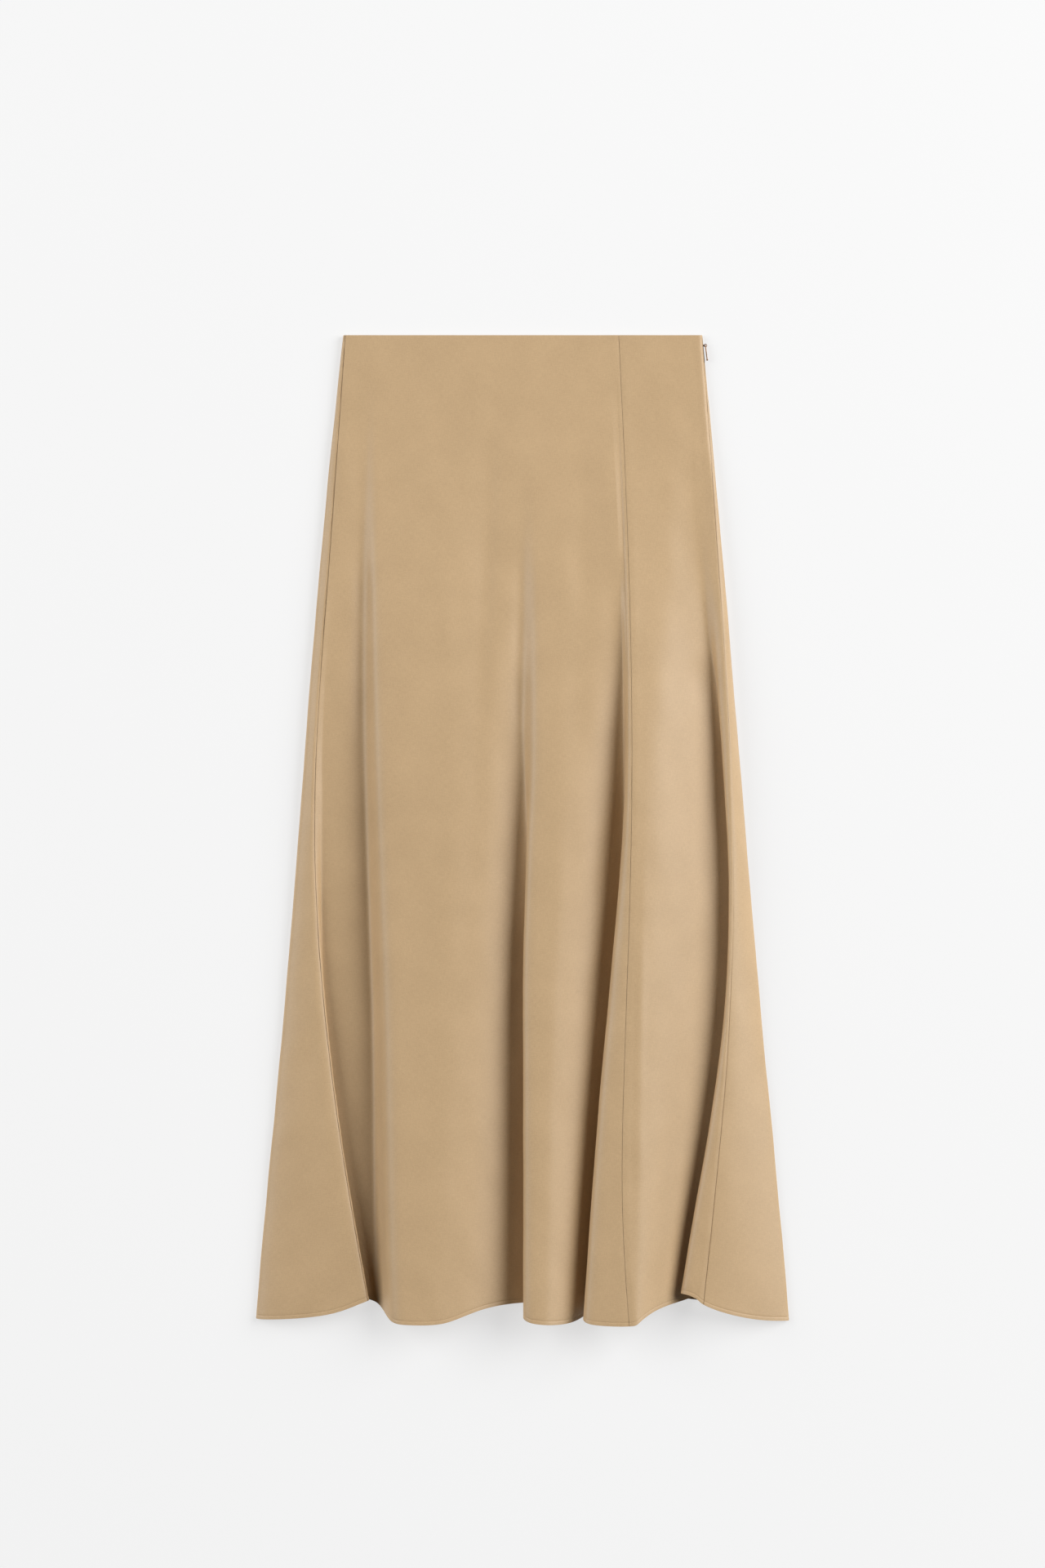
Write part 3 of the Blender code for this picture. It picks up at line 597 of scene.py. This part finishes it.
def add_cloth(name, grid, thickness, finishes):
    """An object with a wall of cloth round the grid."""
    mesh = cloth_mesh(name, grid)
    for finish in finishes:
        mesh.materials.append(finish)
    piece = bpy.data.objects.new(name, mesh)
    bpy.context.scene.collection.objects.link(piece)
    wall = piece.modifiers.new("wall", "SOLIDIFY")
    wall.thickness = thickness * MM
    wall.offset = 0.0
    return piece, wall


def build_panel(name, outside, inside):
    """A panel's shell, its inside a little darker."""
    start, end, columns, flat, area = PANELS[name]
    grid = panel_grid(start, end, columns)
    grid += outward(grid) * relief(name, grid)[:, :, None]
    panel, wall = add_cloth(name + "_cloth", grid, CLOTH, (outside, inside))
    wall.material_offset = 1
    wall.material_offset_rim = 1
    rims = panel.modifiers.new("rims", "BEVEL")
    rims.limit_method = "ANGLE"
    rims.angle_limit = RIM_ANGLE
    rims.width = RIM_WIDTH * MM
    rims.segments = RIM_SEGMENTS
    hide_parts(name)
    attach(panel, "skirt")


def build_allowance(seam, first_row, finish):
    """The edges of two panels, pressed open behind their seam."""
    grid = []
    for share in rows_down()[first_row:]:
        ring = section(share)
        corners = np.array(ring.corners)
        middle = ring.seams[seam]
        spots = [past(corners, middle, beside) for beside in ALLOWANCE_COLUMNS]
        grid.append(curve_at(corners, np.array(spots)))
    grid = np.array(grid)
    grid -= outward(grid) * (0.5 * CLOTH + 0.5 * ALLOWANCE_WALL + ALLOWANCE_CLEAR)
    strip, _ = add_cloth(seam + "_seam_allowance", grid, ALLOWANCE_WALL, (finish,))
    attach(strip, "skirt")


# --- Materials: tones, and how many times their grain repeats in a metre ------------------------
CREPES = {
    # deep tone, light tone, roughness, sheen
    "skirt_crepe": ((0.46, 0.314, 0.170, 1.0), (0.54, 0.372, 0.206, 1.0), 0.5, 0.10),
    "skirt_crepe_inside": ((0.41, 0.28, 0.155, 1.0), (0.48, 0.33, 0.185, 1.0), 0.62, 0.08),
}
ACROSS_THREADS = 1350.0
ALONG_THREADS = 200.0
PEBBLES = 900.0
PATCHES = 26.0
THREAD_SHARE = 0.6              # of the grain; the rest is pebbles
GRAIN_RANGE = (0.38, 0.62)
PATCH_RANGE = (0.35, 0.65)
GRAIN_TONE = 0.7                # of the tone; the rest is patches
MIDDLE_RANGE = (0.3, 0.7)       # of a noise, spread over a roughness
CREPE_ROUGHER = 0.05
SHEEN_ROUGHNESS = 0.4
CREPE_DEPTH = 0.12
TAPE_TONES = ((0.36, 0.24, 0.14, 1.0), (0.48, 0.33, 0.20, 1.0))
TAPE_RIBS = 520.0
TAPE_SPECKS = 2200.0
TAPE_ROUGHNESS = (0.7, 0.85)
TAPE_DEPTH = 0.1
METAL_TONES = ((0.36, 0.228, 0.144, 1.0), (0.45, 0.285, 0.18, 1.0))
METAL_GRAIN = (900.0, 120.0, 900.0)
METAL_ROUGHNESS = (0.42, 0.57)
METAL_DEPTH = 0.02
OWN_SPACE = 3                   # the coordinates' output that measures from a piece's own origin


class Finish:
    """A node material, built step by step; each step gives the socket that the next one takes."""

    def __init__(self, name):
        self.material = bpy.data.materials.new(name)
        self.material.use_nodes = True
        self.tree = self.material.node_tree
        self.shader = self.tree.nodes["Principled BSDF"]

    def put(self, socket, value):
        """Link a socket to another, or set its value."""
        if isinstance(value, bpy.types.NodeSocket):
            self.tree.links.new(value, socket)
        else:
            socket.default_value = value

    def node(self, kind, output=0, inputs=None, **settings):
        step = self.tree.nodes.new(kind)
        for key, value in settings.items():
            setattr(step, key, value)
        for key, value in (inputs or {}).items():
            self.put(step.inputs[key], value)
        return step.outputs[output]

    def scaled(self, vector, factors):
        return self.node("ShaderNodeVectorMath", 0, {0: vector, 1: factors}, operation="MULTIPLY")

    def noise(self, vector, scale, detail=2.0, roughness=0.5):
        return self.node("ShaderNodeTexNoise", 0, {
            "Vector": vector, "Scale": scale, "Detail": detail, "Roughness": roughness})

    def maths(self, operation, *values):
        return self.node("ShaderNodeMath", 0, dict(enumerate(values)), operation=operation)

    def spread(self, value, reach, to_low, to_high):
        low, high = reach
        return self.node("ShaderNodeMapRange", 0, {
            "Value": value, "From Min": low, "From Max": high, "To Min": to_low, "To Max": to_high})

    def blend(self, share, first, second):
        mix = self.tree.nodes.new("ShaderNodeMix")
        mix.data_type = "RGBA"
        for socket, value in zip((mix.inputs[0], mix.inputs[6], mix.inputs[7]), (share, first, second)):
            self.put(socket, value)
        return mix.outputs[2]

    def bump(self, height, distance, strength):
        normal = self.node("ShaderNodeBump", 0, {
            "Height": height, "Distance": distance * MM, "Strength": strength})
        self.put(self.shader.inputs["Normal"], normal)


def crepe(name):
    """Fine crepe: short uneven threads both ways, a pebbled face and a slight change of tone."""
    deep, light, roughness, sheen = CREPES[name]
    finish = Finish(name)
    cloth = finish.node("ShaderNodeUVMap", uv_map="cloth")
    warp = finish.noise(finish.scaled(cloth, (ACROSS_THREADS, ALONG_THREADS, 1.0)), 1.0, 1.0)
    weft = finish.noise(finish.scaled(cloth, (ALONG_THREADS, ACROSS_THREADS, 1.0)), 1.0, 1.0)
    pebble = finish.noise(cloth, PEBBLES, 2.0, 0.6)
    patches = finish.noise(cloth, PATCHES, 3.0)
    threads = finish.maths("MULTIPLY", finish.maths("ADD", warp, weft), 0.5)
    coarse = finish.maths("MULTIPLY", threads, THREAD_SHARE)
    fine = finish.maths("MULTIPLY", pebble, 1.0 - THREAD_SHARE)
    grain = finish.maths("ADD", coarse, fine)
    speckle = finish.spread(grain, GRAIN_RANGE, 0.0, GRAIN_TONE)
    drift = finish.spread(patches, PATCH_RANGE, 0.0, 1.0 - GRAIN_TONE)
    tone = finish.maths("ADD", speckle, drift)
    finish.put(finish.shader.inputs["Base Color"], finish.blend(tone, deep, light))
    rough = finish.spread(pebble, MIDDLE_RANGE, roughness - CREPE_ROUGHER, roughness + CREPE_ROUGHER)
    finish.put(finish.shader.inputs["Roughness"], rough)
    finish.shader.inputs["Sheen Weight"].default_value = sheen
    finish.shader.inputs["Sheen Roughness"].default_value = SHEEN_ROUGHNESS
    finish.bump(grain, CREPE_DEPTH, 0.5)
    return finish.material


def woven(name):
    """The zip's tape: close ribs of thin threads."""
    finish = Finish(name)
    place = finish.node("ShaderNodeTexCoord", OWN_SPACE)
    ribs = finish.node("ShaderNodeTexWave", 1, {"Vector": place, "Scale": TAPE_RIBS, "Distortion": 1.5})
    specks = finish.noise(place, TAPE_SPECKS)
    finish.put(finish.shader.inputs["Base Color"], finish.blend(specks, *TAPE_TONES))
    rough = finish.spread(specks, MIDDLE_RANGE, *TAPE_ROUGHNESS)
    finish.put(finish.shader.inputs["Roughness"], rough)
    finish.bump(ribs, TAPE_DEPTH, 0.6)
    return finish.material


def brushed(name):
    """Satin metal with a soft grain and a few duller spots."""
    finish = Finish(name)
    place = finish.node("ShaderNodeTexCoord", OWN_SPACE)
    grain = finish.noise(finish.scaled(place, METAL_GRAIN), 1.0)
    finish.put(finish.shader.inputs["Base Color"], finish.blend(grain, *METAL_TONES))
    rough = finish.spread(grain, MIDDLE_RANGE, *METAL_ROUGHNESS)
    finish.put(finish.shader.inputs["Roughness"], rough)
    finish.shader.inputs["Metallic"].default_value = 1.0
    finish.bump(grain, METAL_DEPTH, 0.3)
    return finish.material


# --- The zip, on its solids. Downs are from the waist edge, insides from the line of the right side
#     and heights from the surface ------------------------------------------------------------------
TAPE_DOWN = (1.0, 200.0)
TAPE_INSIDE = (11.0, 3.8)
TAPE_LAYERS = (1.62, 1.88)      # middle heights of its two tapes
TAPE_WALL = 0.22
TAPE_POINTS = 60                # down each of a tape's sides
SLIDER_INSIDE = (9.0, 2.8)
SLIDER_DOWN = (4.8, 13.8)
SLIDER_HEIGHT = (2.3, 3.6)
WING_PLATE = 0.5                # thickness of the slider's two wings
POST_RADIUS = 0.9               # of the post between them
POST_DOWN = 2.2                 # below the wings' top
BRIDGE_HEIGHT = 3.1             # middle of the bridge's plate
BRIDGE_PLATE = 0.7
BRIDGE_LAP = 1.2                # how far its arm runs over the slider
BRIDGE_RADIUS = 1.6
BRIDGE_HOLE = 1.0
PIVOT_DOWN = 9.3
PIVOT_OUTSIDE = 2.1
PULL_LEAN = math.radians(7.0)
PULL_LENGTH = 13.2
PULL_WIDTH = 3.6
PULL_PLATE = 1.0
PULL_BAR = 0.9
PULL_WINDOW = (1.6, 3.0)        # across and along
PULL_ROLL = 0.85
PULL_CORNER = 0.45
WINDOW_CORNER = 0.35
COIL_DOWN = (15.0, 198.0)       # the closed teeth
COIL_INSIDE = 3.4
COIL_RADIUS = 0.55
COIL_FLAT = 0.5                 # of its width, its height
COIL_OVER = 0.9                 # over the tapes' middle
COIL_WIRE = 0.2                 # radius
COIL_PITCH = 1.1
COIL_POINTS = 8                 # to a turn


def right_side(down):
    """The skirt's right edge, a distance down."""
    return along("right_side", down)


def pivot():
    """Where the pull hangs in its bridge, in millimetres."""
    return Vector((right_side(PIVOT_DOWN) + PIVOT_OUTSIDE, WAIST_Y - PIVOT_DOWN, BRIDGE_HEIGHT))


def plate(name, outlines, thickness, rounding, finish):
    """A flat plate with rounded edges from closed outlines, one inside another for a hole."""
    curve = bpy.data.curves.new(name, "CURVE")
    curve.dimensions = "2D"
    curve.fill_mode = "BOTH"
    curve.extrude = (0.5 * thickness - rounding) * MM
    curve.bevel_depth = rounding * MM
    curve.bevel_resolution = 2
    curve.offset = -rounding * MM
    for outline in outlines:
        line = curve.splines.new("POLY")
        line.points.add(len(outline) - 1)
        for point, (x, y) in zip(line.points, outline):
            point.co = (x * MM, y * MM, 0.0, 1.0)
        line.use_cyclic_u = True
    curve.materials.append(finish)
    piece = bpy.data.objects.new(name, curve)
    bpy.context.scene.collection.objects.link(piece)
    return piece


def rounded(low, high, radius, steps=6):
    """A rectangle's outline with rounded corners."""
    outline = []
    tips = ((high[0], high[1]), (low[0], high[1]), (low[0], low[1]), (high[0], low[1]))
    for number, (x, y) in enumerate(tips):
        centre_x = x - math.copysign(radius, x - 0.5 * (low[0] + high[0]))
        centre_y = y - math.copysign(radius, y - 0.5 * (low[1] + high[1]))
        for step in range(steps + 1):
            angle = 0.5 * math.pi * (number + step / steps)
            outline.append((centre_x + radius * math.cos(angle), centre_y + radius * math.sin(angle)))
    return outline


def circle(x, y, radius, steps=32):
    """A circle's outline."""
    turns = [math.tau * step / steps for step in range(steps)]
    return [(x + radius * math.cos(turn), y + radius * math.sin(turn)) for turn in turns]


def build_tapes(finish):
    """The zip's two tapes, one on the other."""
    downs = np.linspace(*TAPE_DOWN, TAPE_POINTS)
    inner = [(right_side(down) - TAPE_INSIDE[0], WAIST_Y - down) for down in downs]
    outer = [(right_side(down) - TAPE_INSIDE[1], WAIST_Y - down) for down in downs[::-1]]
    for number, height in enumerate(TAPE_LAYERS):
        tape = plate("zip_tape_%d" % number, [inner + outer], TAPE_WALL, 0.05, finish)
        tape.location.z = height * MM
        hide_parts("zip_tape")
        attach(tape, "skirt")


def build_coil(finish):
    """The closed teeth, a spiral along the tape's edge."""
    turns = int((COIL_DOWN[1] - COIL_DOWN[0]) / COIL_PITCH)
    curve = bpy.data.curves.new("zip_coil", "CURVE")
    curve.dimensions = "3D"
    curve.bevel_depth = COIL_WIRE * MM
    curve.bevel_resolution = 1
    line = curve.splines.new("POLY")
    line.points.add(turns * COIL_POINTS - 1)
    for number, point in enumerate(line.points):
        turn = number / COIL_POINTS
        down = COIL_DOWN[0] + turn * COIL_PITCH
        angle = math.tau * turn
        x = right_side(down) - COIL_INSIDE + COIL_RADIUS * math.cos(angle)
        z = 0.5 * sum(TAPE_LAYERS) + COIL_OVER + COIL_FLAT * COIL_RADIUS * math.sin(angle)
        point.co = (x * MM, (WAIST_Y - down) * MM, z * MM, 1.0)
    curve.materials.append(finish)
    coil = bpy.data.objects.new("zip_coil", curve)
    bpy.context.scene.collection.objects.link(coil)
    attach(coil, "skirt")


def build_slider(metal):
    """Two wings and a post inside, and the bridge with its ring outside."""
    side = right_side(PIVOT_DOWN)
    low, high = SLIDER_HEIGHT
    x_0, x_1 = side - SLIDER_INSIDE[0], side - SLIDER_INSIDE[1]
    y_0, y_1 = WAIST_Y - SLIDER_DOWN[1], WAIST_Y - SLIDER_DOWN[0]
    wing = [(x_0 + 1.0, y_0), (x_1 - 1.0, y_0), (x_1 - 0.5, y_0 + 2.0), (x_1, y_1 - 3.0), (x_1 - 0.6, y_1),
            (x_0 + 0.6, y_1), (x_0, y_1 - 3.0), (x_0 + 0.5, y_0 + 2.0)]
    x, y, z = pivot()
    half = 0.5 * BRIDGE_RADIUS
    post = circle(0.5 * (x_0 + x_1), y_1 - POST_DOWN, POST_RADIUS)
    arm = rounded((x_1 - BRIDGE_LAP, y - half), (x - 0.4 * BRIDGE_RADIUS, y + half), 0.3)
    ring = [circle(x, y, BRIDGE_RADIUS), circle(x, y, BRIDGE_HOLE)]
    gap = high - low - WING_PLATE
    plates = (
        # name, outlines, thickness, rounding, middle height
        ("zip_slider_back", [wing], WING_PLATE, 0.12, low + 0.5 * WING_PLATE),
        ("zip_slider_front", [wing], WING_PLATE, 0.12, high - 0.5 * WING_PLATE),
        ("zip_slider_post", [post], gap - 0.1, 0.05, 0.5 * (low + high)),
        ("zip_bridge_arm", [arm], BRIDGE_PLATE, 0.15, z),
        ("zip_bridge_ring", ring, BRIDGE_PLATE, 0.15, z),
    )
    for name, outlines, thickness, rounding, height in plates:
        piece = plate(name, outlines, thickness, rounding, metal)
        piece.location.z = height * MM
        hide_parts("zip_slider")
        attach(piece, "skirt")


def build_pull(metal):
    """A slim tab that hangs on edge from the bridge by the bar over its window."""
    hinge = Matrix.Translation(pivot() * MM) @ Matrix.Rotation(PULL_LEAN, 4, "Z")
    on_edge = Matrix.Rotation(0.5 * math.pi, 4, "Y")
    half, bar = 0.5 * PULL_WIDTH, 0.5 * PULL_BAR
    wide, high = PULL_WINDOW
    body = rounded((-half, -PULL_LENGTH), (half, bar), PULL_CORNER)
    window = rounded((-0.5 * wide, -bar - high), (0.5 * wide, -bar), WINDOW_CORNER)
    tab = plate("zip_pull_tab", [body, window], PULL_PLATE, 0.22, metal)
    tab.matrix_world = hinge @ on_edge
    roll = plate("zip_pull_roll", [circle(0.0, -PULL_LENGTH, PULL_ROLL)], PULL_WIDTH, 0.3, metal)
    roll.matrix_world = hinge
    for piece in (tab, roll):
        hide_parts("zip_pull")
        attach(piece, "zip_pull")


# --- The stage: in metres and watts --------------------------------------------------------------
WHITE = (1.0, 1.0, 1.0, 1.0)
FLOOR_SIZE = 24.0
PAPER_TONE = (0.25, 0.25, 0.25, 1.0)
PAPER_ROUGHNESS = 0.9
PAPER_GLOW = 0.64               # keeps the paper pale all round, as in the photo
LIGHTS = (
    # name, where it stands, width, watts
    ("key", (5.2, 2.2, 3.5), 5.6, 630.0),
    ("fill", (-7.5, 2.6, 4.8), 7.8, 800.0),
)
CAMERA_PLACE = (0.0, 0.0417, 6.0)      # looks straight down
CAMERA_SENSOR = 36.0            # of the camera and its lens, in millimetres
CAMERA_LENS = 150.0
CAMERA_REACH = 100.0


def build_stage():
    """The pale paper that the skirt lies on."""
    bpy.ops.mesh.primitive_plane_add(size=FLOOR_SIZE)
    floor = bpy.context.object
    floor.name = "floor"
    paper = Finish("floor_paper")
    paper.shader.inputs["Base Color"].default_value = PAPER_TONE
    paper.shader.inputs["Roughness"].default_value = PAPER_ROUGHNESS
    paper.shader.inputs["Emission Color"].default_value = WHITE
    paper.shader.inputs["Emission Strength"].default_value = PAPER_GLOW
    floor.data.materials.append(paper.material)


def build_camera():
    lens = bpy.data.cameras.new("camera")
    lens.sensor_width = CAMERA_SENSOR
    lens.lens = CAMERA_LENS
    lens.clip_end = CAMERA_REACH
    camera = bpy.data.objects.new("camera", lens)
    camera.location = CAMERA_PLACE
    bpy.context.scene.collection.objects.link(camera)
    bpy.context.scene.camera = camera


def build_lights():
    """Two round lamps that look at the origin, in a room with no light of its own."""
    for name, location, size, watts in LIGHTS:
        lamp = bpy.data.lights.new(name, "AREA")
        lamp.shape = "DISK"
        lamp.size = size
        lamp.energy = watts
        light = bpy.data.objects.new(name, lamp)
        light.location = location
        light.rotation_euler = (-Vector(location)).to_track_quat("-Z", "Y").to_euler()
        bpy.context.scene.collection.objects.link(light)
    world = bpy.data.worlds.new("room")
    world.use_nodes = True
    bpy.context.scene.world = world
    backdrop = world.node_tree.nodes["Background"]
    backdrop.inputs["Color"].default_value = WHITE
    backdrop.inputs["Strength"].default_value = 0.0
    bpy.context.scene.view_settings.view_transform = "Standard"


def main():
    build_stage()
    build_camera()
    build_lights()
    outside = crepe("skirt_crepe")
    inside = crepe("skirt_crepe_inside")
    for name in ("back", "front_main", "front_side"):
        build_panel(name, outside, inside)
    for seam, first_row in ALLOWANCE_ROWS.items():
        build_allowance(seam, first_row, inside)
    tape = woven("zip_tape_weave")
    metal = brushed("zip_satin_metal")
    build_tapes(tape)
    build_coil(tape)
    build_slider(metal)
    build_pull(metal)


main()
bpy.context.view_layer.update()
